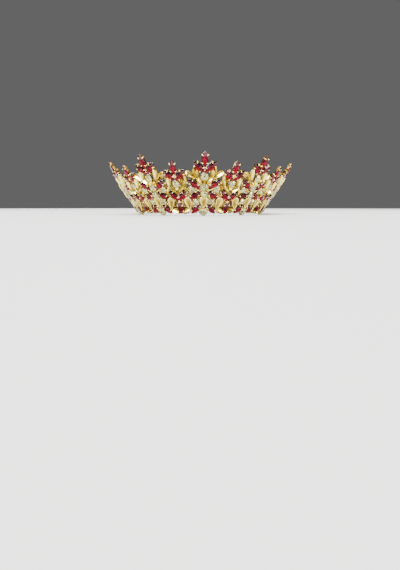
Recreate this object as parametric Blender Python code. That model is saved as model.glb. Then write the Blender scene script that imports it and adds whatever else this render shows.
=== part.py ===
"""Flared bridal crown: eleven tall motifs and eleven link motifs of cut stones and cast gold leaves.

Run with: blender --background --python part.py
Metres, +Z up. The crown stands on its rim, its front looks along -Y.
"""
from collections import namedtuple
from math import cos, pi, radians, sin

import bmesh
import bpy
from mathutils import Matrix, Vector

MM = 0.001

# Driving dimensions: millimetres and degrees
UNITS = 11
UNIT_ANGLE = 360 / UNITS
RIM_RADIUS = 80.0
FLARE = radians(30.7)
RIM_LIFT = 3.76

# Depths outward from the cone that the motifs lie on
NAVETTE_BACK = -1.4
ROUND_BACK = -1.55
STONE_GIRDLE = 1.0
STONE_TABLE = 2.5
PAD_TOP = 0.7
SEAT_GAP = 0.3
LOOSE_GIRDLE = 0.5
LOOSE_CROWN = 1.3
LEAF_BACK = -1.0
LEAF_EDGE = 0.6
LEAF_RIDGE = 1.7
BOSS_BACK = -1.25
BOSS_TOP = 1.3
PEAR_BACK = -1.15
PEAR_RIM = 1.6
PEAR_DISH = 0.7

# A setting stands this far out round its stone
SETTING_EDGE = 0.4
PAD_EDGE = 0.8
TABLE_SHARE = 0.5
NAVETTE_SIDES = 6
ROUND_SIDES = 8
LEAF_SIDES = 4
PEAR_SIDES = 8
PEAR_WAIST = 0.3
BOSS_SIDES = 6
WELD = 0.02
KEPT_SHARE = 0.5

# The plain band behind the lowest stones, and the feet under them
BAND_LOW = 0.8
BAND_HIGH = 4.6
BAND_OUTER = -1.9
BAND_INNER = -3.1
BAND_SEGMENTS = 44
FOOT_WIDTH = 3.2
FOOT_INNER = 76.8
FOOT_OUTER = 78.7
FOOT_TOP = 2.3

# One charted piece: angle round the crown from the motif's middle, height up the slope,
# turn of its upper end towards a growing angle, length and width
Spot = namedtuple("Spot", "angle slope turn length width")

TALL_SIDE_NAVETTE = Spot(3.15, 46.9, 47, 13.2, 6.0)
TALL_UPPER_NAVETTE = Spot(5.8, 30.4, 50, 13.2, 5.9)
TALL_LOWER_NAVETTE = Spot(5.9, 18.9, -53, 12.2, 5.9)
TALL_FLANK_NAVETTE = Spot(5.7, 3.7, -41, 12.4, 5.9)
TALL_CROWN_ROUND = Spot(0.0, 37.5, 0, 6.4, 6.4)
TALL_LOWER_ROUND = Spot(0.0, 20.1, 0, 6.0, 6.0)
TALL_SIDE_ROUND = Spot(7.4, 25.0, 0, 5.8, 5.8)
TALL_SMALL_ROUND = Spot(4.8, 12.4, 0, 5.6, 5.6)
TALL_UPRIGHT_LEAF = Spot(4.9, 40.4, 5, 12.0, 6.4)
TALL_OUTER_LEAF = Spot(7.5, 38.9, 58, 11.4, 5.8)
TALL_FAN_LEAF = Spot(3.0, 33.5, 45, 9.4, 5.6)
TALL_MIDDLE_PETAL = Spot(0.0, 33.7, 0, 4.6, 5.0)
TALL_MIDDLE_PEAR = Spot(0.0, 11.6, 0, 11.6, 8.6)
TALL_SIDE_PEAR = Spot(9.8, 10.1, 12, 13.4, 6.8)
TALL_KNOT = Spot(0.0, 44.9, 0, 3.6, 3.6)

LINK_FINIAL_NAVETTE = Spot(0.0, 46.5, 0, 12.8, 6.0)
LINK_SIDE_NAVETTE = Spot(3.0, 39.5, 44, 12.8, 5.9)
LINK_LOWER_NAVETTE = Spot(2.8, 18.4, 36, 12.6, 5.8)
LINK_BOTTOM_NAVETTE = Spot(0.0, 4.9, 0, 12.6, 6.3)
LINK_ROUND = Spot(0.0, 30.7, 0, 6.3, 6.3)
LINK_UPRIGHT_LEAF = Spot(4.6, 33.1, 8, 12.6, 6.0)
LINK_SWAG_LEAF = Spot(3.2, 25.4, 58, 10.0, 5.6)
LINK_BOTTOM_LEAF = Spot(3.4, 1.2, 66, 10.4, 5.8)
LINK_KNOT = Spot(0.0, 38.4, 0, 4.0, 4.0)
LINK_BOSS = Spot(0.0, 25.6, 0, 4.6, 4.6)
LINK_LOWER_BEAD = Spot(0.0, 12.0, 0, 4.4, 4.4)

FINIAL_STONE = Spot(0.0, 53.6, 0, 13.2, 6.0)
CENTRE_STONE = Spot(0.0, 27.5, 0, 7.2, 7.2)
BOTTOM_STONE = Spot(0.0, 1.1, 0, 8.2, 8.2)


def clear_scene():
    for item in list(bpy.data.objects):
        bpy.data.objects.remove(item, do_unlink=True)


def plain_material(name, colour, roughness, metallic):
    """A plain Principled BSDF material."""
    made = bpy.data.materials.new(name)
    made.use_nodes = True
    shader = made.node_tree.nodes["Principled BSDF"]
    shader.inputs["Base Color"].default_value = (*colour, 1.0)
    shader.inputs["Roughness"].default_value = roughness
    shader.inputs["Metallic"].default_value = metallic
    return made


def on_cone(spot):
    """The frame of a spot: x along the rim, y up the slope and z outward."""
    angle = radians(spot.angle)
    outward = Vector((sin(angle), -cos(angle), 0))
    across = Vector((cos(angle), sin(angle), 0))
    upward = outward * sin(FLARE) + Vector((0, 0, cos(FLARE)))
    normal = across.cross(upward)
    centre = outward * RIM_RADIUS + Vector((0, 0, RIM_LIFT)) + upward * spot.slope
    frame = Matrix((across, upward, normal)).transposed().to_4x4()
    frame.translation = centre
    return frame @ Matrix.Rotation(-radians(spot.turn), 4, "Z")


def mirrored(spot):
    """A spot and its twin on the other side of the motif."""
    return [spot, spot._replace(angle=-spot.angle, turn=-spot.turn)]


def oval(spot, sides, phase=0.0, share=1.0):
    """Angle and place of each corner of an oval, from its upper end round to the right."""
    turns = [phase + 2 * pi * k / sides for k in range(sides)]
    x_reach = max(sin(turn) for turn in turns) / share
    y_reach = max(cos(turn) for turn in turns) / share
    return [
        (turn, spot.width / 2 * sin(turn) / x_reach, spot.length / 2 * cos(turn) / y_reach)
        for turn in turns
    ]


def pear(spot):
    """Angle and place of each corner of a pear shape whose waist is at the lower end."""
    turns = [2 * pi * k / PEAR_SIDES for k in range(PEAR_SIDES)]
    reach = [sin(turn) * (PEAR_WAIST + (1 - PEAR_WAIST) * cos(turn / 2) ** 4) for turn in turns]
    widest = max(reach)
    return [
        (turn, spot.width / 2 * side / widest, spot.length / 2 * cos(turn))
        for turn, side in zip(turns, reach)
    ]


def ring_of(bm, corners, depth):
    return [(turn, bm.verts.new((x, y, depth))) for turn, x, y in corners]


def stitch(bm, lower, upper):
    """Triangles between two rings, stepping round by angle; the upper ring may have fewer corners."""
    low = lower + [(lower[0][0] + 2 * pi, lower[0][1])]
    high = upper + [(upper[0][0] + 2 * pi, upper[0][1])]
    i = j = 0
    while i < len(low) - 1 or j < len(high) - 1:
        low_next = low[i + 1][0] if i < len(low) - 1 else float("inf")
        high_next = high[j + 1][0] if j < len(high) - 1 else float("inf")
        if low_next + low[i][0] <= high_next + high[j][0]:
            bm.faces.new((low[i][1], low[i + 1][1], high[j][1]))
            i += 1
        else:
            bm.faces.new((low[i][1], high[j + 1][1], high[j][1]))
            j += 1


def close(bm, ring):
    bm.faces.new([corner for _, corner in ring])


def fan(bm, ring, peak):
    """Triangles from a ring to one middle point."""
    top = bm.verts.new(peak)
    for (_, here), (_, there) in zip(ring, ring[1:] + ring[:1]):
        bm.faces.new((here, there, top))


def finish(bm, spot):
    """Puts a charted piece, drawn in millimetres, on the cone."""
    bmesh.ops.recalc_face_normals(bm, faces=bm.faces)
    bmesh.ops.transform(bm, matrix=Matrix.Scale(MM, 4) @ on_cone(spot), verts=bm.verts)
    mesh = bpy.data.meshes.new("piece")
    bm.to_mesh(mesh)
    bm.free()
    return mesh


def cut_stone(spot, outline, table, back, girdle, top):
    """A stone with a straight girdle, a ring of crown facets and a flat table."""
    bm = bmesh.new()
    base = ring_of(bm, outline, back)
    edge = ring_of(bm, outline, girdle)
    flat = ring_of(bm, table, top)
    close(bm, base)
    stitch(bm, base, edge)
    stitch(bm, edge, flat)
    close(bm, flat)
    return finish(bm, spot)


def with_edge(spot, edge):
    """The spot of a setting that stands out all round by the edge given."""
    return spot._replace(length=spot.length + 2 * edge, width=spot.width + 2 * edge)


def navette(spot):
    """A pointed stone with the setting that it is fused to."""
    outline = oval(with_edge(spot, SETTING_EDGE), NAVETTE_SIDES)
    table = oval(spot, 4, share=TABLE_SHARE)
    return cut_stone(spot, outline, table, NAVETTE_BACK, STONE_GIRDLE, STONE_TABLE)


def round_stone(spot):
    """A round stone with the setting that it is fused to."""
    outline = oval(with_edge(spot, SETTING_EDGE), ROUND_SIDES, phase=pi / ROUND_SIDES)
    table = oval(spot, 4, share=TABLE_SHARE)
    return cut_stone(spot, outline, table, ROUND_BACK, STONE_GIRDLE, STONE_TABLE)


def loose_stone(spot, sides, phase):
    """A main stone on its own, seated a small gap above its pad."""
    low = PAD_TOP + SEAT_GAP
    girdle = low + LOOSE_GIRDLE
    outline = oval(spot, sides, phase)
    table = oval(spot, 4, share=TABLE_SHARE)
    return cut_stone(spot, outline, table, low, girdle, girdle + LOOSE_CROWN)


def prism(spot, corners, back, top):
    bm = bmesh.new()
    base = ring_of(bm, corners, back)
    edge = ring_of(bm, corners, top)
    close(bm, base)
    stitch(bm, base, edge)
    close(bm, edge)
    return finish(bm, spot)


def pad(spot, sides, phase):
    """The flat setting under a main stone."""
    return prism(spot, oval(with_edge(spot, PAD_EDGE), sides, phase), ROUND_BACK, PAD_TOP)


def boss(spot):
    return prism(spot, oval(spot, BOSS_SIDES), BOSS_BACK, BOSS_TOP)


def dished(spot, corners, back, rim, middle):
    """A petal or leaf whose face rises or sinks to its middle."""
    bm = bmesh.new()
    base = ring_of(bm, corners, back)
    edge = ring_of(bm, corners, rim)
    close(bm, base)
    stitch(bm, base, edge)
    fan(bm, edge, (0, 0, middle))
    return finish(bm, spot)


def leaf(spot):
    return dished(spot, oval(spot, LEAF_SIDES), LEAF_BACK, LEAF_EDGE, LEAF_RIDGE)


def pear_petal(spot):
    return dished(spot, pear(spot), PEAR_BACK, PEAR_RIM, PEAR_DISH)


def foot():
    """The flat foot below the lowest stone, square to the floor."""
    bm = bmesh.new()
    bmesh.ops.create_cube(bm, size=1)
    size = Vector((FOOT_WIDTH, FOOT_OUTER - FOOT_INNER, FOOT_TOP)) * MM
    middle = Vector((0, -(FOOT_OUTER + FOOT_INNER) / 2, FOOT_TOP / 2)) * MM
    bmesh.ops.scale(bm, vec=size, verts=bm.verts)
    bmesh.ops.translate(bm, vec=middle, verts=bm.verts)
    mesh = bpy.data.meshes.new("foot")
    bm.to_mesh(mesh)
    bm.free()
    return mesh


def tidy(mesh):
    """Takes out slivers that the union leaves."""
    bm = bmesh.new()
    bm.from_mesh(mesh)
    bmesh.ops.remove_doubles(bm, verts=bm.verts, dist=WELD * MM)
    bmesh.ops.dissolve_degenerate(bm, edges=bm.edges, dist=WELD * MM)
    bmesh.ops.dissolve_limit(bm, angle_limit=radians(0.5), verts=bm.verts, edges=bm.edges)
    bmesh.ops.triangulate(bm, faces=bm.faces)
    bm.to_mesh(mesh)
    bm.free()


def fused(name, meshes, share):
    """One closed body out of overlapping pieces, thinned to a share of its faces."""
    rest = bpy.data.collections.new(name + "_pieces")
    bpy.context.scene.collection.children.link(rest)
    first = bpy.data.objects.new(name, meshes[0])
    bpy.context.collection.objects.link(first)
    for mesh in meshes[1:]:
        rest.objects.link(bpy.data.objects.new("piece", mesh))
    union = first.modifiers.new("union", "BOOLEAN")
    union.operation = "UNION"
    union.solver = "EXACT"
    union.operand_type = "COLLECTION"
    union.collection = rest
    union.use_self = True
    thinned = first.modifiers.new("thinned", "DECIMATE")
    thinned.ratio = share
    bpy.context.view_layer.update()
    whole = first.evaluated_get(bpy.context.evaluated_depsgraph_get())
    mesh = bpy.data.meshes.new_from_object(whole)
    tidy(mesh)
    for item in list(rest.objects) + [first]:
        bpy.data.objects.remove(item, do_unlink=True)
    bpy.data.collections.remove(rest)
    mesh.materials.clear()
    return mesh


def tall_motif_mesh():
    meshes = [
        pear_petal(TALL_MIDDLE_PEAR),
        round_stone(TALL_LOWER_ROUND),
        leaf(TALL_MIDDLE_PETAL),
        round_stone(TALL_CROWN_ROUND),
        boss(TALL_KNOT),
    ]
    for make, spot in (
        (navette, TALL_SIDE_NAVETTE),
        (navette, TALL_UPPER_NAVETTE),
        (navette, TALL_LOWER_NAVETTE),
        (navette, TALL_FLANK_NAVETTE),
        (round_stone, TALL_SIDE_ROUND),
        (round_stone, TALL_SMALL_ROUND),
        (leaf, TALL_UPRIGHT_LEAF),
        (leaf, TALL_OUTER_LEAF),
        (leaf, TALL_FAN_LEAF),
        (pear_petal, TALL_SIDE_PEAR),
    ):
        meshes += [make(side) for side in mirrored(spot)]
    flat_pieces = [
        foot(),
        pad(BOTTOM_STONE, ROUND_SIDES, pi / ROUND_SIDES),
        pad(CENTRE_STONE, ROUND_SIDES, pi / ROUND_SIDES),
        pad(FINIAL_STONE, NAVETTE_SIDES, 0),
    ]
    return fused("tall_motif", [fused("tall_motif", meshes, KEPT_SHARE)] + flat_pieces, 1)


def link_motif_mesh():
    meshes = [
        navette(LINK_FINIAL_NAVETTE),
        navette(LINK_BOTTOM_NAVETTE),
        round_stone(LINK_ROUND),
        boss(LINK_KNOT),
        boss(LINK_BOSS),
        boss(LINK_LOWER_BEAD),
    ]
    for make, spot in (
        (navette, LINK_SIDE_NAVETTE),
        (navette, LINK_LOWER_NAVETTE),
        (leaf, LINK_UPRIGHT_LEAF),
        (leaf, LINK_SWAG_LEAF),
        (leaf, LINK_BOTTOM_LEAF),
    ):
        meshes += [make(side) for side in mirrored(spot)]
    return fused("link_motif", meshes, KEPT_SHARE)


def band_mesh():
    """The plain ring behind the motifs, turned from its cross-section."""
    bm = bmesh.new()
    section = []
    for slope, depth in (
        (BAND_LOW, BAND_OUTER),
        (BAND_HIGH, BAND_OUTER),
        (BAND_HIGH, BAND_INNER),
        (BAND_LOW, BAND_INNER),
    ):
        place = on_cone(Spot(0, slope, 0, 0, 0)) @ Vector((0, 0, depth))
        section.append(bm.verts.new(place * MM))
    edges = [bm.edges.new((here, there)) for here, there in zip(section, section[1:] + section[:1])]
    bmesh.ops.spin(
        bm, geom=section + edges, cent=(0, 0, 0), axis=(0, 0, 1), angle=2 * pi,
        steps=BAND_SEGMENTS, use_merge=True, use_duplicate=False,
    )
    bmesh.ops.recalc_face_normals(bm, faces=bm.faces)
    mesh = bpy.data.meshes.new("base_band")
    bm.to_mesh(mesh)
    bm.free()
    return mesh


def add_node(name, mesh, material, angle):
    """One named object, turned round the crown's axis to its place."""
    own = mesh.copy()
    own.name = name
    own.materials.append(material)
    item = bpy.data.objects.new(name, own)
    item.rotation_euler = (0, 0, radians(angle))
    bpy.context.collection.objects.link(item)
    return item


def add_round_of(name, mesh, material, start):
    """Eleven copies of a piece, one for each unit of the crown."""
    for k in range(UNITS):
        add_node(f"{name}_{k + 1:02d}", mesh, material, start + k * UNIT_ANGLE)


def stand_on_origin():
    """Centres the crown's box over the origin."""
    bpy.context.view_layer.update()
    corners = [item.matrix_world @ v.co for item in bpy.data.objects for v in item.data.vertices]
    middle_y = (min(c.y for c in corners) + max(c.y for c in corners)) / 2
    for item in bpy.data.objects:
        item.location.y -= middle_y


def build():
    clear_scene()
    gold = plain_material("pale_gold", (0.86, 0.68, 0.33), 0.28, 1.0)
    red = plain_material("red_stone", (0.62, 0.02, 0.07), 0.08, 0.0)
    clear = plain_material("clear_stone", (0.80, 0.81, 0.74), 0.08, 0.0)
    add_node("base_band", band_mesh(), gold, 0)
    add_round_of("tall_motif", tall_motif_mesh(), gold, 0)
    add_round_of("link_motif", link_motif_mesh(), gold, UNIT_ANGLE / 2)
    add_round_of("finial_stone", loose_stone(FINIAL_STONE, NAVETTE_SIDES, 0), red, 0)
    round_phase = pi / ROUND_SIDES
    add_round_of("centre_stone", loose_stone(CENTRE_STONE, ROUND_SIDES, round_phase), clear, 0)
    add_round_of("bottom_stone", loose_stone(BOTTOM_STONE, ROUND_SIDES, round_phase), clear, 0)
    stand_on_origin()


build()
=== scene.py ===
"""Looks of the flared bridal crown: cut stones in claw settings, cast leaves, dished petals, studio."""
from collections import namedtuple
from math import atan2, cos, pi, radians, sin, sqrt

import bmesh
import bpy
from bpy.props import FloatProperty, FloatVectorProperty, IntProperty, PointerProperty
from mathutils import Matrix, Vector


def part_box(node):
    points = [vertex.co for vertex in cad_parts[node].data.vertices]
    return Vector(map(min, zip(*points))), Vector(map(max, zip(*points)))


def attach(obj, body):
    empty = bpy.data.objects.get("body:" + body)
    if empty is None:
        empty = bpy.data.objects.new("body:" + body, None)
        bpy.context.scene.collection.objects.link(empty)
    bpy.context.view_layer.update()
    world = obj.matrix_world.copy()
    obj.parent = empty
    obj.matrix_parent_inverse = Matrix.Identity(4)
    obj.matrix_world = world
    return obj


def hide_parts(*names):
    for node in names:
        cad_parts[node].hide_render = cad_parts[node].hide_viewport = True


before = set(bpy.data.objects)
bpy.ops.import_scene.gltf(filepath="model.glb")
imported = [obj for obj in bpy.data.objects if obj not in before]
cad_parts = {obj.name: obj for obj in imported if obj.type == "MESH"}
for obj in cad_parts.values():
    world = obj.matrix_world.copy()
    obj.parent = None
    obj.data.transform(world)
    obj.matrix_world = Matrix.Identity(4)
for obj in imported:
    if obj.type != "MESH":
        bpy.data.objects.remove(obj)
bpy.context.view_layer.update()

bl_info = {
    "name": "Bridal Crown",
    "version": (1, 0, 0),
    "blender": (4, 5, 0),
    "location": "View3D > Sidebar > Crown",
    "description": "Models the goldwork and stones of a flared bridal crown",
    "category": "Add Mesh",
}

# One millimetre in metres, and how near in millimetres two heights count as one
MM = 0.001
NEAR = 0.01

BAND_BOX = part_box("base_band")

# The crown's cone: millimetres and degrees
UNITS = 11
UNIT_ANGLE = 360 / UNITS
RIM_RADIUS = 80.0
RIM_LIFT = 3.76
FLARE = radians(30.7)
AXIS_Y = (BAND_BOX[0].y + BAND_BOX[1].y) / 2

# Depths outward from the cone
CUP_BACK = -1.4
CUP_TOP = 0.8
STONE_SEAT = 0.2
GIRDLE_LOW = 0.9
GIRDLE = 1.15
CROWN_STEP = 0.75
TABLE_STEP = 0.6
CUP_HOLLOW = 0.7
PEAR_BACK = -1.1
PEAR_RIM = 1.3
LEAF_LIFT = 0.3
BEAD_DEPTH = 0.5
RING_DEPTH = 0.9

# Sizes of the model pieces, in millimetres, which each spot then stretches
NAVETTE_LENGTH = 13.8
NAVETTE_WIDTH = 6.8
ROUND_SIZE = 6.0
LEAF_LENGTH = 10.6
LEAF_WIDTH = 5.4
LEAF_THICKNESS = 1.3
PEAR_LENGTH = 13.0
PEAR_WIDTH = 7.4
CLAW_FOOT = -0.9
CLAW_LENGTH = 1.3
CLAW_WIDTH = 1.5
CLAW_SHIFT = 0.15
RING_RADIUS = 0.34
RING_WIRE = 0.14
RING_HEIGHT = 3.0
BEAD_HEIGHT = 2.4
BEAD_SEAT_TOP = -0.2
BEAD_SEAT = -0.3
NAVETTE_CUP_EDGE = -0.25
ROUND_CUP_EDGE = 0.12

# Corners of the outlines
STONE_CORNERS = 12
CUP_CORNERS = 24
PEAR_CORNERS = 20
CLAW_CORNERS = 8
STEM_CORNERS = 10
RING_CORNERS = 16

# Shares of the width and the length that a piece keeps at its foot or mouth
STONE_FOOT = (0.72, 0.8)
CUP_FOOT = (0.86, 0.92)
CUP_MOUTH = (0.88, 0.92)

# Shares that a bead's seat keeps of its depth and a stem's ends of their width, and how much every
# second corner of a ring swells
BEAD_SEAT_SHARE = 0.3
STEM_END_SHARE = 0.7
RING_SWELL = (1.1, 1.1, 1.5)

# Outlines: how slowly navettes and leaves taper, the least width at their tips and the pears' waist
NAVETTE_TAPER = 0.36
NAVETTE_TIP = 0.02
LEAF_FULLNESS = 2.4
LEAF_TAPER = 0.7
LEAF_TIP = 0.04
PEAR_WAIST = 0.3

# The rows of a pear's rim and dish: rise in millimetres, shares kept of the width and the length
PEAR_STEPS = ((0.3, 0.9, 0.95), (0.0, 0.84, 0.9), (-0.7, 0.84, 0.92), (-0.6, 0.6, 0.75), (-0.15, 0.4, 0.5))

# The rows of a claw's bend: rise, way inward, share kept and the place it narrows to, in millimetres
CLAW_STEPS = ((0.45, 0.35, 1.0, 0.0), (0.3, 0.5, 0.85, -0.7), (0.08, 0.0, 0.55, -0.75))

# The parts of a leaf: half the rib's width in millimetres, shares of its half length that the rib and
# the rib's top reach, the share of its width where the edges start, shares of the fold, and the crease
RIB_HALF = 0.05
RIB_REACH = 0.95
RIB_TOP_REACH = 0.6
LEAF_EDGE = 0.3
RIB_TOP_FOLD = 0.15
LEAF_EDGE_FOLD = 0.12
RIB_CREASE = 0.85

# One charted piece: angle round the crown from the motif's middle, height up the slope,
# turn of its upper end towards a growing angle, length and width
Spot = namedtuple("Spot", "angle slope turn length width")

# Claws on a stone: shares of its half width and half length where they stand, lean to its middle in
# degrees, and size against the model claw
Claws = namedtuple("Claws", "across along lean size")
NAVETTE_CLAWS = Claws(0.80, 0.52, 22, 0.85)
ROUND_CLAWS = Claws(0.68, 0.68, 45, 0.6)

TALL_NAVETTES = (
    Spot(3.05, 46.8, 47, 14.2, 6.8),
    Spot(5.8, 30.3, 50, 14.2, 6.7),
    Spot(5.75, 18.95, -51, 13.8, 6.7),
    Spot(5.6, 3.6, -40, 13.4, 6.8),
)
TALL_ROUNDS = (Spot(7.4, 25.0, 0, 6.6, 6.6), Spot(4.9, 12.2, 0, 6.3, 6.3))
TALL_MIDDLE_ROUNDS = (Spot(0.0, 37.4, 0, 7.2, 7.2), Spot(0.0, 20.1, 0, 6.8, 6.8))
TALL_LEAVES = (
    Spot(4.9, 40.4, 5, 12.2, 6.6),
    Spot(7.6, 38.8, 57, 12.4, 6.0),
    Spot(3.1, 33.7, 52, 9.2, 6.0),
    Spot(2.9, 30.9, 88, 5.4, 3.2),
    Spot(10.5, 22.0, -24, 6.8, 3.3),
)
TALL_MIDDLE_LEAVES = (Spot(0.0, 32.9, 0, 6.0, 6.0),)
TALL_PEARS = (Spot(10.1, 9.9, 12, 14.2, 7.8),)
TALL_MIDDLE_PEARS = (Spot(0.0, 11.2, 0, 12.4, 8.8),)
TALL_STEMS = (Spot(4.3, 24.8, 66, 5.6, 2.2),)
TALL_BEADS = (Spot(2.4, 6.4, 0, 2.0, 2.0), Spot(6.9, 9.4, 0, 1.6, 1.6), Spot(2.5, 23.4, 0, 1.6, 1.6))
TALL_RINGS = (Spot(0.0, 45.0, 0, 3.6, 3.6),)

LINK_NAVETTES = (Spot(3.0, 39.4, 44, 13.8, 6.7), Spot(2.9, 18.3, 38, 13.6, 6.6))
LINK_MIDDLE_NAVETTES = (Spot(0.0, 46.4, 0, 13.4, 6.8), Spot(0.0, 4.9, 0, 13.6, 7.2))
LINK_MIDDLE_ROUNDS = (Spot(0.0, 30.6, 0, 7.0, 7.0),)
LINK_LEAVES = (
    Spot(4.6, 33.0, 8, 12.8, 6.4),
    Spot(3.2, 25.4, 58, 10.6, 5.8),
    Spot(3.8, 1.0, 72, 11.2, 6.2),
)
LINK_BEADS = (Spot(6.6, 31.8, 0, 1.8, 1.8),)
LINK_MIDDLE_BEADS = (Spot(0.0, 25.9, 0, 4.0, 4.0), Spot(0.0, 17.6, 0, 1.8, 1.8), Spot(0.0, 12.0, 0, 3.0, 3.0))
LINK_RINGS = (Spot(0.0, 38.4, 0, 3.6, 3.6),)

FINIAL_STONE = Spot(0.0, 53.6, 0, 14.0, 6.8)
CENTRE_STONE = Spot(0.0, 27.5, 0, 7.7, 7.7)
BOTTOM_STONE = Spot(0.0, 0.9, 0, 8.8, 8.8)

# The feet under the bottom stones
FOOT_WIDTH = 3.2
FOOT_DEPTH = 1.9
FOOT_HEIGHT = 2.3
FOOT_RADIUS = 77.75
FOOT_FLARE = 1.25
FOOT_ROUNDING = 0.25

# The depth below which the plating gets its darkest painted shade and the height above which it gets its
# brightest painted highlight, what the tips and whole pieces add to that height as painted highlight, and the
# band's height all over
PAINTED_SHADE_DEPTH = -1.4
PAINTED_HIGHLIGHT_HEIGHT = 2.6
# Painted highlight: what leaves and petals get towards their upper ends, as light falls from above, and what
# whole small pieces get all over
LEAF_TIP_HIGHLIGHT = 0.45
PEAR_TIP_HIGHLIGHT = 0.2
PEAR_HIGHLIGHT = 0.12
BEAD_HIGHLIGHT = 0.40
STEM_HIGHLIGHT = 0.35
RING_HIGHLIGHT = 0.45
BAND_LEVEL = 0.48

# What a facet's value, which paints its reflection, is made of: the least, a painted highlight for its lean
# up the slope and for its place up the stone as light falls from above, its way from the middle, how far the
# values of like facets spread, and how fast they change with the place along X, Y and Z, so that they are the
# same in each run
FACET_LEAST = 0.2
FACET_LEAN = 0.35
FACET_PLACE = 0.15
FACET_WAY = 0.3
NAVETTE_SPREAD = 0.25
ROUND_SPREAD = 0.4
FACET_CHANGES = Vector((900, 1500, 2100))

# Tones from low values to high: position, colour setting and how much of it. The gold's tones run from
# painted shade to painted highlight; the stones' tones paint each facet's reflection, the red stones' mauve
# being a painted reflection of light from above on their upper facets
GOLD_TONES = ((0.50, "painted_shade", 1.0), (0.68, "colour", 0.38), (0.88, "colour", 1.0), (1.00, "painted_highlight", 1.0))
RED_TONES = (
    (0.00, "red", 1.2), (0.12, "red", 0.5), (0.22, "red", 1.2), (0.34, "wine", 1.0), (0.42, "red", 0.3),
    (0.52, "painted_reflection", 0.8), (0.66, "painted_reflection", 1.3), (0.78, "painted_reflection", 0.5), (0.95, "painted_reflection", 2.4),
)
CLEAR_TONES = (
    (0.00, "clear", 1.0), (0.12, "clear", 0.3), (0.20, "clear", 1.2), (0.29, "clear", 0.03),
    (0.37, "clear", 1.0), (0.44, "clear", 0.12), (0.50, "clear", 0.05), (0.57, "clear", 1.2),
    (0.72, "clear", 0.15), (0.90, "clear", 1.2),
)

# Surfaces: patches and grain in each metre, the patches' share of a tone, the bump's strength and
# height, and what the roughness adds to its setting in recesses, on crests and on a satin piece
GOLD_PATCHES = 260
GOLD_GRAIN = 700
GOLD_PATCH_SHARE = 0.4
GOLD_BUMP = 0.35
GOLD_BUMP_HEIGHT = 0.00015
RECESS_ROUGHNESS = 0.36
CREST_ROUGHNESS = 0.02
SATIN_ROUGHNESS = 0.28
STONE_PATCHES = 520
STONE_PATCH_SHARE = 0.35
STONE_ROUGHNESS = 0.12
STONE_COAT = 0.08
COAT_ROUGHNESS = 0.03
RED_METALLIC = 0.9
CLEAR_METALLIC = 0.6
FLOOR_ROUGHNESS = 0.9

# The stage, in metres: the floor, the point that the lamps face, and each lamp with its share of the
# key light's power
FLOOR_RADIUS = 6
FLOOR_THICKNESS = 0.02
LAMP_AIM = (0, 0, 0.03)
WORLD_STRENGTH = 0.13
Lamp = namedtuple("Lamp", "name place size share")
LAMPS = (
    Lamp("key", (-1.0, -1.5, 1.7), 1.5, 1.0),
    Lamp("fill", (1.9, -1.1, 1.0), 1.2, 0.45),
    Lamp("top", (0.3, -0.2, 2.4), 1.2, 0.45),
    Lamp("back", (-0.7, 2.2, 1.2), 1.2, 0.3),
)

# The photograph's view
FRAME_LONG_SIDE = 570
PHOTO_FOCAL_PIXELS = 261
SENSOR = 36.0
NEAREST_SEEN = 0.001


class CrownGoldSettings(bpy.types.PropertyGroup):
    colour: FloatVectorProperty(
        name="Gold colour", description="Colour of the gold plating", subtype="COLOR",
        size=3, min=0, max=1, default=(0.72, 0.50, 0.05),
    )
    # Painted shade: the colour put deep between the stones, where shade falls
    painted_shade: FloatVectorProperty(
        name="Recess colour", description="Colour of the plating deep between the stones", subtype="COLOR",
        size=3, min=0, max=1, default=(0.16, 0.085, 0.013),
    )
    # Painted highlight: the colour put on claws, ribs and rims, where light catches
    painted_highlight: FloatVectorProperty(
        name="Crest colour", description="Colour of the plating on claws, ribs and rims", subtype="COLOR",
        size=3, min=0, max=1, default=(1.0, 0.86, 0.26),
    )
    roughness: FloatProperty(
        name="Gold roughness", description="How dull the plating is", subtype="FACTOR",
        min=0, max=1, default=0.20,
    )
    leaf_fold: FloatProperty(
        name="Leaf fold", description="Height of a leaf's rib above its edges", unit="LENGTH",
        min=0, default=0.0026,
    )


class CrownStoneSettings(bpy.types.PropertyGroup):
    red: FloatVectorProperty(
        name="Red", description="Brightest colour of the red stones", subtype="COLOR",
        size=3, min=0, max=1, default=(0.24, 0.0, 0.016),
    )
    wine: FloatVectorProperty(
        name="Wine", description="Darkest colour of the red stones", subtype="COLOR",
        size=3, min=0, max=1, default=(0.024, 0.0, 0.004),
    )
    # Painted reflection: the mauve that the red stones' upper facets get for light from above, brightest at
    # the top of the range
    painted_reflection: FloatVectorProperty(
        name="Mauve", description="Colour of the red stones' upper facets", subtype="COLOR",
        size=3, min=0, max=1, default=(0.105, 0.04, 0.05),
    )
    clear: FloatVectorProperty(
        name="Clear", description="Colour of the clear stones' foil", subtype="COLOR",
        size=3, min=0, max=1, default=(0.78, 0.74, 0.33),
    )
    table_share: FloatProperty(
        name="Table", description="Width of a stone's table against the stone", subtype="FACTOR",
        min=0.3, max=0.8, default=0.5,
    )


class CrownStageSettings(bpy.types.PropertyGroup):
    floor: FloatVectorProperty(
        name="Floor", description="Colour of the floor", subtype="COLOR",
        size=3, min=0, max=1, default=(0.74, 0.74, 0.73),
    )
    distance: FloatProperty(
        name="Distance", description="From the camera to the crown's axis", unit="LENGTH",
        min=0.1, default=0.362,
    )
    height: FloatProperty(
        name="Height", description="Of the camera above the floor", unit="LENGTH",
        min=0.001, default=0.008,
    )
    turn: FloatProperty(
        name="Turn", description="Of the camera round the crown's axis, to the left", unit="ROTATION",
        default=radians(2.45),
    )
    dip: FloatProperty(
        name="Dip", description="Of the camera's view below the level", unit="ROTATION",
        default=radians(16.5),
    )
    key_power: IntProperty(
        name="Key light", description="Power of the main softbox in watts", min=0, default=165,
    )


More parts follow.
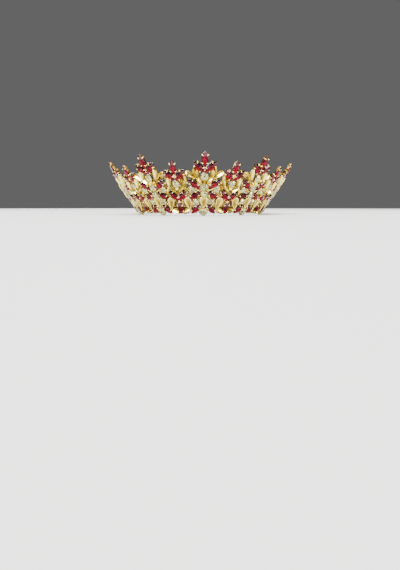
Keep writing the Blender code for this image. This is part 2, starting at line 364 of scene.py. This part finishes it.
def on_cone(spot, depth=0.0):
    """The frame of a spot in metres: x along the rim, y up the slope and z outward."""
    angle = radians(spot.angle)
    outward = Vector((sin(angle), -cos(angle), 0))
    across = Vector((cos(angle), sin(angle), 0))
    upward = outward * sin(FLARE) + Vector((0, 0, cos(FLARE)))
    normal = across.cross(upward)
    centre = outward * RIM_RADIUS + Vector((0, 0, RIM_LIFT)) + upward * spot.slope + normal * depth
    place = Matrix((across, upward, normal)).transposed().to_4x4()
    place.translation = centre * MM + Vector((0, AXIS_Y, 0))
    return place @ Matrix.Rotation(-radians(spot.turn), 4, "Z")


def turned(angle):
    """The turn by an angle in degrees round the crown's own axis."""
    axis = Matrix.Translation((0, AXIS_Y, 0))
    return axis @ Matrix.Rotation(radians(angle), 4, "Z") @ axis.inverted()


def both_sides(spots):
    """Each spot and its twin on the other side of the motif."""
    return [side for spot in spots for side in (spot, spot._replace(angle=-spot.angle, turn=-spot.turn))]


def select_only(*items):
    """Selects the pieces given and makes the first one active."""
    bpy.ops.object.select_all(action="DESELECT")
    for item in items:
        item.select_set(True)
    bpy.context.view_layer.objects.active = items[0]


def edit(item):
    """Opens a piece in edit mode with nothing selected."""
    select_only(item)
    bpy.ops.object.mode_set(mode="EDIT")
    bpy.ops.mesh.select_mode(type="VERT")
    bpy.ops.mesh.select_all(action="DESELECT")


def done(item):
    """Leaves edit mode."""
    bpy.ops.object.mode_set(mode="OBJECT")
    return item


def pick(item, test):
    """Selects the corners that pass a test of their place."""
    shape = bmesh.from_edit_mesh(item.data)
    for face in shape.faces:
        face.select_set(False)
    for corner in shape.verts:
        corner.select_set(test(corner.co))
    shape.select_flush(True)
    bmesh.update_edit_mesh(item.data)


def pick_top(item, level):
    """Selects the face at a piece's top, whose level is given in millimetres."""
    pick(item, lambda co: co.z > (level - NEAR) * MM)


def pick_bottom(item, level):
    """Selects the face at a piece's bottom, whose level is given in millimetres."""
    pick(item, lambda co: co.z < (level + NEAR) * MM)


def stretch(x=1.0, y=1.0, z=1.0, centre=(0, 0, 0)):
    bpy.ops.transform.resize(value=(x, y, z), center_override=centre)


def shift(x=0.0, y=0.0, z=0.0):
    bpy.ops.transform.translate(value=(x, y, z))


def pull(rise):
    """Extrudes the selected face straight up by a rise in metres."""
    bpy.ops.mesh.extrude_region_move(TRANSFORM_OT_translate={"value": (0, 0, rise)})


def shape_rows(item, width_at):
    """Narrows a piece row by row; width_at gives each row's share from its y."""
    rows = sorted({round(corner.co.y, 7) for corner in item.data.vertices})
    edit(item)
    for row in rows:
        pick(item, lambda co: abs(co.y - row) < 1e-6)
        stretch(x=width_at(row))
    return done(item)


def puck(name, corners, length, width, low, high):
    """An upright cylinder stretched to an oval, in millimetres."""
    bpy.ops.mesh.primitive_cylinder_add(
        vertices=corners, radius=0.5 * MM, depth=(high - low) * MM, location=(0, 0, (high + low) / 2 * MM),
    )
    item = bpy.context.object
    item.name = name
    item.scale = (width, length, 1)
    bpy.ops.object.transform_apply(location=True, rotation=True, scale=True)
    return item


def pointed(item, length):
    """Draws an oval's ends to points, as a navette has them."""
    half = length / 2 * MM
    return shape_rows(item, lambda y: max(max(1 - (y / half) ** 2, 0) ** NAVETTE_TAPER, NAVETTE_TIP))


def tear_shaped(item, length):
    """Narrows the lower half of an oval to a waist and keeps its widest place as wide as it was."""
    half = length / 2 * MM

    def waist(along):
        return PEAR_WAIST + (1 - PEAR_WAIST) * ((along + 1) / 2) ** 2

    reach = max(sqrt(1 - along ** 2) * waist(along) for along in (k / 50 for k in range(50)))
    return shape_rows(item, lambda y: waist(y / half) / reach)


def smooth(item, angle=40):
    """Shades a piece smooth but for edges sharper than the angle in degrees."""
    select_only(item)
    bpy.ops.object.shade_smooth_by_angle(angle=radians(angle))
    return item


def rounded(item, width):
    """Bevels a piece's sharp edges."""
    bevel = item.modifiers.new("rounded", "BEVEL")
    bevel.width = width * MM
    bevel.segments = 2
    bevel.limit_method = "ANGLE"
    bevel.angle_limit = radians(35)
    select_only(item)
    bpy.ops.object.modifier_apply(modifier=bevel.name)
    return item


def softened(item):
    """Smooths a piece with one applied subdivision."""
    soft = item.modifiers.new("softened", "SUBSURF")
    soft.levels = soft.render_levels = 1
    select_only(item)
    bpy.ops.object.modifier_apply(modifier=soft.name)
    return item


def model_stone(name, length, width, outline):
    """A cut stone: girdle, two rows of crown facets and a flat table."""
    table = bpy.context.scene.crown_stones.table_share
    item = outline(puck(name, STONE_CORNERS, length, width, GIRDLE_LOW, GIRDLE), length)
    edit(item)
    pick_bottom(item, GIRDLE_LOW)
    pull((STONE_SEAT - GIRDLE_LOW) * MM)
    stretch(*STONE_FOOT)
    pick_top(item, GIRDLE)
    middle = (1 + table) / 2
    pull(CROWN_STEP * MM)
    stretch(middle, middle)
    pull(TABLE_STEP * MM)
    stretch(table / middle, table / middle)
    bpy.ops.mesh.select_all(action="SELECT")
    bpy.ops.mesh.quads_convert_to_tris(quad_method="SHORTEST_DIAGONAL", ngon_method="BEAUTY")
    return done(item)


def model_cup(name, length, width, outline, edge):
    """A claw setting's cup: flared wall, open mouth and a floor under the stone."""
    length, width = length + edge * 2, width + edge * 2
    item = outline(puck(name, CUP_CORNERS, length, width, CUP_BACK, CUP_TOP), length)
    edit(item)
    pick_bottom(item, CUP_BACK)
    stretch(*CUP_FOOT)
    pick_top(item, CUP_TOP)
    pull(0)
    stretch(*CUP_MOUTH)
    pull(-CUP_HOLLOW * MM)
    return smooth(done(item))


def model_claw(name):
    """One claw that bends over a stone's girdle, its foot outside the girdle and its tip inwards."""
    item = puck(name, CLAW_CORNERS, CLAW_LENGTH, CLAW_WIDTH, CLAW_FOOT, GIRDLE)
    edit(item)
    bpy.ops.mesh.select_all(action="SELECT")
    shift(x=CLAW_SHIFT * MM)
    pick_top(item, GIRDLE)
    for rise, inward, share, middle in CLAW_STEPS:
        pull(rise * MM)
        shift(x=-inward * MM)
        stretch(share, share, centre=(middle * MM, 0, 0))
    return smooth(done(item), 80)


def model_leaf(name):
    """A cast leaf: pointed oval with a raised rib and curled edges."""
    fold = bpy.context.scene.crown_gold.leaf_fold
    bpy.ops.mesh.primitive_grid_add(x_subdivisions=4, y_subdivisions=8, size=1 * MM)
    item = bpy.context.object
    item.name = name
    item.scale = (LEAF_WIDTH, LEAF_LENGTH, 1)
    bpy.ops.object.transform_apply(location=True, rotation=True, scale=True)
    half = LEAF_LENGTH / 2 * MM
    rib = RIB_HALF * MM
    shape_rows(item, lambda y: max((1 - abs(y / half) ** LEAF_FULLNESS) ** LEAF_TAPER, LEAF_TIP))
    edit(item)
    pick(item, lambda co: abs(co.x) < rib and abs(co.y) < half * RIB_REACH)
    shift(z=fold)
    pick(item, lambda co: abs(co.x) < rib and abs(co.y) < half * RIB_TOP_REACH)
    shift(z=fold * RIB_TOP_FOLD)
    pick(item, lambda co: abs(co.x) > LEAF_WIDTH * LEAF_EDGE * MM)
    shift(z=fold * LEAF_EDGE_FOLD)
    bpy.ops.mesh.select_all(action="SELECT")
    shift(z=LEAF_LIFT * MM)
    done(item)
    thick = item.modifiers.new("thick", "SOLIDIFY")
    thick.thickness = LEAF_THICKNESS * MM
    thick.offset = -1
    select_only(item)
    bpy.ops.object.modifier_apply(modifier=thick.name)
    edit(item)
    pick(item, lambda co: abs(co.x) < rib and co.z > LEAF_LIFT * MM)
    bpy.ops.transform.edge_crease(value=RIB_CREASE)
    return smooth(softened(done(item)), 60)


def model_pear(name):
    """A dished pear-shaped petal with a rounded raised rim."""
    item = puck(name, PEAR_CORNERS, PEAR_LENGTH, PEAR_WIDTH, PEAR_BACK, PEAR_RIM)
    tear_shaped(item, PEAR_LENGTH)
    edit(item)
    pick_top(item, PEAR_RIM)
    for rise, across, along in PEAR_STEPS:
        pull(rise * MM)
        stretch(across, along)
    return smooth(softened(done(item)), 80)


def model_bead(name):
    """A round bead with a flattened seat, one millimetre wide."""
    bpy.ops.mesh.primitive_uv_sphere_add(segments=10, ring_count=6, radius=0.5 * MM)
    item = bpy.context.object
    item.name = name
    edit(item)
    pick(item, lambda co: co.z < BEAD_SEAT_TOP * MM)
    stretch(z=BEAD_SEAT_SHARE, centre=(0, 0, BEAD_SEAT * MM))
    return smooth(done(item), 80)


def model_stem(name):
    """A round solder wire lying up the slope, one millimetre long and wide, with narrowed ends."""
    bpy.ops.mesh.primitive_cylinder_add(
        vertices=STEM_CORNERS, radius=0.5 * MM, depth=1 * MM, rotation=(pi / 2, 0, 0),
    )
    item = bpy.context.object
    item.name = name
    bpy.ops.object.transform_apply(location=True, rotation=True, scale=True)
    edit(item)
    pick(item, lambda co: abs(co.y) > (0.5 - NEAR) * MM)
    stretch(x=STEM_END_SHARE, z=STEM_END_SHARE)
    return smooth(done(item))


def model_ring(name):
    """The small beaded ring where three navettes meet."""
    bpy.ops.mesh.primitive_torus_add(
        major_radius=RING_RADIUS * MM, minor_radius=RING_WIRE * MM,
        major_segments=RING_CORNERS, minor_segments=6,
    )
    item = bpy.context.object
    item.name = name
    edit(item)
    pick(item, lambda co: round(atan2(co.y, co.x) / (2 * pi) * RING_CORNERS) % 2 == 0)
    stretch(*RING_SWELL)
    return smooth(done(item), 80)


def model_foot(name):
    """The flat foot under a bottom stone, in its place at the front of the crown."""
    bpy.ops.mesh.primitive_cube_add(size=1 * MM)
    item = bpy.context.object
    item.name = name
    item.scale = (FOOT_WIDTH, FOOT_DEPTH, FOOT_HEIGHT)
    item.location = (0, AXIS_Y - FOOT_RADIUS * MM, FOOT_HEIGHT / 2 * MM)
    bpy.ops.object.transform_apply(location=True, rotation=True, scale=True)
    edit(item)
    pick(item, lambda co: co.z > FOOT_HEIGHT / 2 * MM)
    stretch(x=FOOT_FLARE, centre=(0, AXIS_Y - FOOT_RADIUS * MM, 0))
    return painted_light_values(smooth(rounded(done(item), FOOT_ROUNDING)))


def copy_to(model, place):
    """A copy of a model with its own mesh, with the place in the mesh."""
    made = model.copy()
    made.data = model.data.copy()
    bpy.context.collection.objects.link(made)
    made.data.transform(place)
    return made


def fitted(model, spot, length, width, depth=0.0, high=1.0):
    """A copy on the cone, stretched from the model's size to the spot's."""
    size = Matrix.Diagonal((spot.width / width, spot.length / length, high, 1))
    return copy_to(model, on_cone(spot, depth) @ size)


def claws_of(model, spot, claws):
    """Four claws on a stone's girdle."""
    size = Matrix.Diagonal((claws.size, claws.size, 1, 1))
    made = []
    for side in (1, -1):
        for end in (1, -1):
            x, y = side * claws.across * spot.width / 2, end * claws.along * spot.length / 2
            foot = Matrix.Translation((x * MM, y * MM, 0))
            facing = Matrix.Rotation((0 if side > 0 else pi) + side * end * radians(claws.lean), 4, "Z")
            made.append(copy_to(model, on_cone(spot) @ foot @ facing @ size))
    return made


def joined(name, items):
    """One piece made of all the items, with its own name."""
    select_only(*items)
    if len(items) > 1:
        bpy.ops.object.join()
    made = bpy.context.object
    made.name = name
    made.data.name = name
    return made


def drop(items):
    """Removes models that are no longer needed."""
    for item in items:
        bpy.data.objects.remove(item, do_unlink=True)


def painted_facet_reflections(item, spot, spread):
    """Gives every facet its own value, which paints its reflection on the foil under the cut glass: higher
    where the facet faces up and towards the stone's upper end, as painted light from above, and higher
    towards the rim.
    """
    level = on_cone(spot._replace(turn=0))
    upward, middle = level.col[1].to_3d(), level.translation
    half = spot.length / 2 * MM
    values = item.data.attributes.new("facet", "FLOAT", "FACE")
    for face in item.data.polygons:
        own = abs(face.center.dot(FACET_CHANGES) % 2 - 1)
        offset = face.center - middle
        lit = FACET_LEAN * face.normal.dot(upward)
        lit += FACET_PLACE * offset.dot(upward) / half + FACET_WAY * offset.length / half
        values.data[face.index].value = FACET_LEAST + lit + spread * (own - 0.5)
    return item


def painted_light_values(item, tip=0.0, length=1.0, lift=0.0):
    """Keeps how far every corner of a gold model stands out, from 0 in the recesses to 1 on the crests, as
    the value that sets its painted shade and painted highlight, with the tip's share added towards a leaf's
    or petal's upper end as painted highlight and the lift added all over as more painted light."""
    values = item.data.attributes.new("height", "FLOAT", "POINT")
    for corner in item.data.vertices:
        height = (corner.co.z / MM - PAINTED_SHADE_DEPTH) / (PAINTED_HIGHLIGHT_HEIGHT - PAINTED_SHADE_DEPTH)
        values.data[corner.index].value = height + lift + tip * corner.co.y / MM / length
    return item


def round_the_crown(item, material, stem, replaced=None):
    """Copies a finished piece round the crown, each copy with its own mesh."""
    item.data.materials.clear()
    item.data.materials.append(material)
    for k in range(UNITS):
        made = copy_to(item, turned(k * UNIT_ANGLE))
        made.name = f"{stem}_{k + 1:02d}"
        made.data.name = made.name
        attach(made, "root")
        if replaced:
            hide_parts(f"{replaced}_{k + 1:02d}")
    drop([item])


def new_material(name):
    """A new material with its Principled BSDF and its nodes, or the one of that name and no nodes."""
    made = bpy.data.materials.get(name)
    if made:
        return made, None
    made = bpy.data.materials.new(name)
    made.use_nodes = True
    return made, made.node_tree


def add_node(tree, kind, place, **settings):
    """A node at a place in the tree, with its settings."""
    node = tree.nodes.new(kind)
    node.location = place
    for key, value in settings.items():
        setattr(node, key, value)
    return node


def surface_group():
    """Shared fine wear: a slow patch mask and a fine grain value."""
    group = bpy.data.node_groups.get("fine_wear")
    if group:
        return group
    group = bpy.data.node_groups.new("fine_wear", "ShaderNodeTree")
    group.interface.new_socket("Patch Scale", in_out="INPUT", socket_type="NodeSocketFloat")
    group.interface.new_socket("Grain Scale", in_out="INPUT", socket_type="NodeSocketFloat")
    group.interface.new_socket("Patches", in_out="OUTPUT", socket_type="NodeSocketFloat")
    group.interface.new_socket("Grain", in_out="OUTPUT", socket_type="NodeSocketFloat")
    entry = add_node(group, "NodeGroupInput", (-600, 0))
    place = add_node(group, "ShaderNodeTexCoord", (-600, -200))
    patches = add_node(group, "ShaderNodeTexNoise", (-300, 100))
    patches.inputs["Detail"].default_value = 3
    grain = add_node(group, "ShaderNodeTexNoise", (-300, -200))
    grain.inputs["Detail"].default_value = 2
    leave = add_node(group, "NodeGroupOutput", (0, 0))
    group.links.new(place.outputs["Object"], patches.inputs["Vector"])
    group.links.new(place.outputs["Object"], grain.inputs["Vector"])
    group.links.new(entry.outputs["Patch Scale"], patches.inputs["Scale"])
    group.links.new(entry.outputs["Grain Scale"], grain.inputs["Scale"])
    group.links.new(patches.outputs["Fac"], leave.inputs["Patches"])
    group.links.new(grain.outputs["Fac"], leave.inputs["Grain"])
    return group


def ramp(tree, place, look, tones):
    """A colour ramp of the tones given, with the colours of the settings."""
    node = add_node(tree, "ShaderNodeValToRGB", place)
    bar = node.color_ramp
    while len(bar.elements) < len(tones):
        bar.elements.new(0.5)
    for element, (position, colour, share) in zip(bar.elements, tones):
        element.position = position
        element.color = (*(min(channel * share, 1) for channel in getattr(look, colour)), 1)
    return node


def gold_material(name="pale_gold_plating", level=None):
    """Pale yellow plating with a painted shade in brown in its recesses and a painted highlight on its
    crests, with patches and fine grain.

    It reads how far a corner stands out from the piece's own values. Where a level is given, all of the
    piece is on that level and satin.
    """
    made, tree = new_material(name)
    if not tree:
        return made
    look = bpy.context.scene.crown_gold
    shader = tree.nodes["Principled BSDF"]
    shader.inputs["Metallic"].default_value = 1.0
    wear = add_node(tree, "ShaderNodeGroup", (-700, 0), node_tree=surface_group())
    wear.inputs["Patch Scale"].default_value = GOLD_PATCHES
    wear.inputs["Grain Scale"].default_value = GOLD_GRAIN
    blend = add_node(tree, "ShaderNodeMath", (-650, 200), operation="MULTIPLY_ADD")
    blend.inputs[1].default_value = GOLD_PATCH_SHARE
    if level is None:
        # This value sets the painted shade in the recesses and the painted highlight on the crests
        height = add_node(tree, "ShaderNodeAttribute", (-900, 300), attribute_name="height")
        tree.links.new(height.outputs["Fac"], blend.inputs[2])
    else:
        blend.inputs[2].default_value = level
    tone = ramp(tree, (-450, 200), look, GOLD_TONES)
    shine = CREST_ROUGHNESS if level is None else SATIN_ROUGHNESS
    dull = add_node(tree, "ShaderNodeMapRange", (-450, -100))
    dull.inputs["To Min"].default_value = look.roughness + RECESS_ROUGHNESS
    dull.inputs["To Max"].default_value = look.roughness + shine
    bump = add_node(tree, "ShaderNodeBump", (-250, -300))
    bump.inputs["Strength"].default_value = GOLD_BUMP
    bump.inputs["Distance"].default_value = GOLD_BUMP_HEIGHT
    tree.links.new(wear.outputs["Patches"], blend.inputs[0])
    tree.links.new(blend.outputs["Value"], tone.inputs["Fac"])
    tree.links.new(blend.outputs["Value"], dull.inputs["Value"])
    tree.links.new(wear.outputs["Grain"], bump.inputs["Height"])
    tree.links.new(tone.outputs["Color"], shader.inputs["Base Color"])
    tree.links.new(dull.outputs["Result"], shader.inputs["Roughness"])
    tree.links.new(bump.outputs["Normal"], shader.inputs["Normal"])
    return made


def stone_material(name, tones, metallic):
    """Foil-backed cut glass: each facet its own tone, which paints its reflection, under a clear polished
    coat.
    """
    made, tree = new_material(name)
    if not tree:
        return made
    shader = tree.nodes["Principled BSDF"]
    shader.inputs["Metallic"].default_value = metallic
    shader.inputs["Roughness"].default_value = STONE_ROUGHNESS
    shader.inputs["Coat Weight"].default_value = STONE_COAT
    shader.inputs["Coat Roughness"].default_value = COAT_ROUGHNESS
    facet = add_node(tree, "ShaderNodeAttribute", (-900, 100), attribute_name="facet")
    wear = add_node(tree, "ShaderNodeGroup", (-900, -150), node_tree=surface_group())
    wear.inputs["Patch Scale"].default_value = STONE_PATCHES
    blend = add_node(tree, "ShaderNodeMath", (-650, 0), operation="MULTIPLY_ADD")
    blend.inputs[1].default_value = STONE_PATCH_SHARE
    tone = ramp(tree, (-400, 100), bpy.context.scene.crown_stones, tones)
    centred = add_node(tree, "ShaderNodeMath", (-800, -300), operation="SUBTRACT")
    centred.inputs[1].default_value = 0.5
    tree.links.new(wear.outputs["Patches"], centred.inputs[0])
    tree.links.new(centred.outputs["Value"], blend.inputs[0])
    tree.links.new(facet.outputs["Fac"], blend.inputs[2])
    tree.links.new(blend.outputs["Value"], tone.inputs["Fac"])
    tree.links.new(tone.outputs["Color"], shader.inputs["Base Color"])
    return made


def red_material():
    return stone_material("crimson_cut_glass", RED_TONES, RED_METALLIC)


def clear_material():
    return stone_material("clear_cut_glass", CLEAR_TONES, CLEAR_METALLIC)


def floor_material():
    """Plain pale matt floor."""
    made, tree = new_material("pale_floor")
    if not tree:
        return made
    shader = tree.nodes["Principled BSDF"]
    shader.inputs["Base Color"].default_value = (*bpy.context.scene.crown_stage.floor, 1)
    shader.inputs["Roughness"].default_value = FLOOR_ROUGHNESS
    return made


def navette_settings(models, spots):
    """The cups and claws of the navettes given."""
    made = []
    for spot in spots:
        made.append(fitted(models["navette_cup"], spot, NAVETTE_LENGTH, NAVETTE_WIDTH))
        made += claws_of(models["claw"], spot, NAVETTE_CLAWS)
    return made


def round_settings(models, spots):
    """The cups and claws of the rounds given."""
    made = []
    for spot in spots:
        made.append(fitted(models["round_cup"], spot, ROUND_SIZE, ROUND_SIZE))
        made += claws_of(models["claw"], spot, ROUND_CLAWS)
    return made


def navette_stones(models, spots):
    """The cut navettes at the spots given."""
    return [
        painted_facet_reflections(fitted(models["navette"], spot, NAVETTE_LENGTH, NAVETTE_WIDTH), spot, NAVETTE_SPREAD)
        for spot in spots
    ]


def round_stones(models, spots):
    """The cut rounds at the spots given."""
    return [
        painted_facet_reflections(fitted(models["round"], spot, ROUND_SIZE, ROUND_SIZE), spot, ROUND_SPREAD)
        for spot in spots
    ]


def small_gold(models, leaves, pears, beads, stems, rings):
    """Leaves, petals and the small beads, wires and rings between them."""
    made = [fitted(models["leaf"], spot, LEAF_LENGTH, LEAF_WIDTH) for spot in leaves]
    made += [fitted(models["pear"], spot, PEAR_LENGTH, PEAR_WIDTH) for spot in pears]
    for spot in beads:
        made.append(fitted(models["bead"], spot, 1, 1, BEAD_DEPTH, min(spot.width, BEAD_HEIGHT)))
    made += [fitted(models["stem"], spot, 1, 1, high=spot.width) for spot in stems]
    made += [fitted(models["ring"], spot, 1, 1, RING_DEPTH, RING_HEIGHT) for spot in rings]
    return made


def model_all():
    """Every shape that repeats, modelled once."""
    def keep(item, _length):
        """Leaves a round's outline as it is."""
        return item

    return {
        "navette": model_stone("navette", NAVETTE_LENGTH, NAVETTE_WIDTH, pointed),
        "round": model_stone("round", ROUND_SIZE, ROUND_SIZE, keep),
        "navette_cup": painted_light_values(
            model_cup("navette_cup", NAVETTE_LENGTH, NAVETTE_WIDTH, pointed, NAVETTE_CUP_EDGE)
        ),
        "round_cup": painted_light_values(model_cup("round_cup", ROUND_SIZE, ROUND_SIZE, keep, ROUND_CUP_EDGE)),
        "claw": painted_light_values(model_claw("claw")),
        "leaf": painted_light_values(model_leaf("leaf"), LEAF_TIP_HIGHLIGHT, LEAF_LENGTH),
        "pear": painted_light_values(model_pear("pear"), PEAR_TIP_HIGHLIGHT, PEAR_LENGTH, PEAR_HIGHLIGHT),
        "bead": painted_light_values(model_bead("bead"), lift=BEAD_HIGHLIGHT),
        "stem": painted_light_values(model_stem("stem"), lift=STEM_HIGHLIGHT),
        "ring": painted_light_values(model_ring("ring"), lift=RING_HIGHLIGHT),
    }


class CROWN_OT_tall_motifs(bpy.types.Operator):
    """Models the tall motif with the seats of its main stones and copies it eleven times round the crown"""

    bl_idname = "crown.tall_motifs"
    bl_label = "Tall Motifs"

    def execute(self, context):
        models = model_all()
        navettes = both_sides(TALL_NAVETTES)
        rounds = both_sides(TALL_ROUNDS) + list(TALL_MIDDLE_ROUNDS)
        gold = navette_settings(models, navettes + [FINIAL_STONE])
        gold += round_settings(models, rounds + [CENTRE_STONE, BOTTOM_STONE])
        gold += small_gold(
            models,
            both_sides(TALL_LEAVES) + list(TALL_MIDDLE_LEAVES),
            both_sides(TALL_PEARS) + list(TALL_MIDDLE_PEARS),
            both_sides(TALL_BEADS),
            both_sides(TALL_STEMS),
            TALL_RINGS,
        )
        gold.append(model_foot("foot"))
        work = joined("tall_goldwork", gold)
        reds = joined("tall_red", navette_stones(models, navettes))
        clears = joined("tall_clear", round_stones(models, rounds))
        drop(models.values())
        round_the_crown(work, gold_material(), "tall_goldwork", "tall_motif")
        round_the_crown(reds, red_material(), "tall_red_navettes")
        round_the_crown(clears, clear_material(), "tall_clear_rounds")
        return {"FINISHED"}


class CROWN_OT_main_stones(bpy.types.Operator):
    """Cuts the finial, centre and bottom stones and sets one of each on every tall motif"""

    bl_idname = "crown.main_stones"
    bl_label = "Main Stones"

    def execute(self, context):
        models = model_all()
        finial, = navette_stones(models, [FINIAL_STONE])
        centre, bottom = round_stones(models, [CENTRE_STONE, BOTTOM_STONE])
        drop(models.values())
        round_the_crown(finial, red_material(), "finial_navette", "finial_stone")
        round_the_crown(centre, clear_material(), "centre_round", "centre_stone")
        round_the_crown(bottom, clear_material(), "bottom_round", "bottom_stone")
        return {"FINISHED"}


class CROWN_OT_link_motifs(bpy.types.Operator):
    """Models the link motif and copies it eleven times round the crown"""

    bl_idname = "crown.link_motifs"
    bl_label = "Link Motifs"

    def execute(self, context):
        models = model_all()
        navettes = both_sides(LINK_NAVETTES) + list(LINK_MIDDLE_NAVETTES)
        gold = navette_settings(models, navettes) + round_settings(models, LINK_MIDDLE_ROUNDS)
        gold += small_gold(
            models,
            both_sides(LINK_LEAVES),
            (),
            both_sides(LINK_BEADS) + list(LINK_MIDDLE_BEADS),
            (),
            LINK_RINGS,
        )
        work = joined("link_goldwork", gold)
        reds = joined("link_red", navette_stones(models, navettes))
        clears = joined("link_clear", round_stones(models, LINK_MIDDLE_ROUNDS))
        drop(models.values())
        for item in (work, reds, clears):
            item.data.transform(turned(UNIT_ANGLE / 2))
        round_the_crown(work, gold_material(), "link_goldwork", "link_motif")
        round_the_crown(reds, red_material(), "link_red_navettes")
        round_the_crown(clears, clear_material(), "link_clear_round")
        return {"FINISHED"}


class CROWN_OT_base_band(bpy.types.Operator):
    """Gives the plain band behind the motifs its plating"""

    bl_idname = "crown.base_band"
    bl_label = "Base Band"

    def execute(self, context):
        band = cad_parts["base_band"]
        band.data.materials.clear()
        band.data.materials.append(gold_material("band_plating", BAND_LEVEL))
        return {"FINISHED"}


class CROWN_OT_stage(bpy.types.Operator):
    """Sets the floor, the soft lights and the camera"""

    bl_idname = "crown.stage"
    bl_label = "Stage"

    def execute(self, context):
        look = context.scene.crown_stage
        bpy.ops.mesh.primitive_cylinder_add(
            vertices=96, radius=FLOOR_RADIUS, depth=FLOOR_THICKNESS, location=(0, 0, -FLOOR_THICKNESS / 2),
        )
        floor = bpy.context.object
        floor.name = "studio_floor"
        bpy.ops.object.transform_apply(location=True, rotation=True, scale=True)
        floor.data.materials.append(floor_material())
        self.lights(look)
        self.camera(look)
        return {"FINISHED"}

    def lights(self, look):
        """Soft square lamps that face the crown, and an even pale surrounding."""
        for lamp in LAMPS:
            data = bpy.data.lights.new(lamp.name, "AREA")
            data.size = lamp.size
            data.energy = look.key_power * lamp.share
            made = bpy.data.objects.new(lamp.name, data)
            made.location = lamp.place
            facing = Vector(LAMP_AIM) - made.location
            made.rotation_euler = facing.to_track_quat("-Z", "Y").to_euler()
            bpy.context.collection.objects.link(made)
        world = bpy.data.worlds.new("studio")
        bpy.context.scene.world = world
        world.use_nodes = True
        background = world.node_tree.nodes["Background"]
        background.inputs["Color"].default_value = (1, 1, 1, 1)
        background.inputs["Strength"].default_value = WORLD_STRENGTH

    def camera(self, look):
        """The photograph's side, distance and focal length, from just above the floor."""
        data = bpy.data.cameras.new("camera")
        data.sensor_width = SENSOR
        data.lens = PHOTO_FOCAL_PIXELS / FRAME_LONG_SIDE * SENSOR
        data.clip_start = NEAREST_SEEN
        made = bpy.data.objects.new("camera", data)
        left, back = sin(look.turn) * look.distance, cos(look.turn) * look.distance
        made.location = (-left, AXIS_Y - back, look.height)
        made.rotation_euler = (pi / 2 - look.dip, 0, -look.turn)
        bpy.context.collection.objects.link(made)
        bpy.context.scene.camera = made


class CROWN_PT_panel(bpy.types.Panel):
    """Lists the crown's pieces and sizes"""

    bl_label = "Bridal Crown"
    bl_idname = "CROWN_PT_panel"
    bl_space_type = "VIEW_3D"
    bl_region_type = "UI"
    bl_category = "Crown"

    def draw(self, context):
        for settings in ("crown_gold", "crown_stones", "crown_stage"):
            group = getattr(context.scene, settings)
            for name in group.bl_rna.properties.keys():
                if name not in ("rna_type", "name"):
                    self.layout.prop(group, name)
        for operator in OPERATORS:
            self.layout.operator(operator.bl_idname)


SETTINGS = {
    "crown_gold": CrownGoldSettings,
    "crown_stones": CrownStoneSettings,
    "crown_stage": CrownStageSettings,
}
OPERATORS = (
    CROWN_OT_tall_motifs, CROWN_OT_main_stones, CROWN_OT_link_motifs, CROWN_OT_base_band, CROWN_OT_stage,
)


def register():
    for kind in (*SETTINGS.values(), *OPERATORS, CROWN_PT_panel):
        bpy.utils.register_class(kind)
    for name, kind in SETTINGS.items():
        setattr(bpy.types.Scene, name, PointerProperty(type=kind))


def unregister():
    for name in SETTINGS:
        delattr(bpy.types.Scene, name)
    for kind in (CROWN_PT_panel, *reversed(OPERATORS), *SETTINGS.values()):
        bpy.utils.unregister_class(kind)


def main():
    register()
    bpy.ops.crown.tall_motifs()
    bpy.ops.crown.main_stones()
    bpy.ops.crown.link_motifs()
    bpy.ops.crown.base_band()
    bpy.ops.crown.stage()


if __name__ == "__main__":
    main()
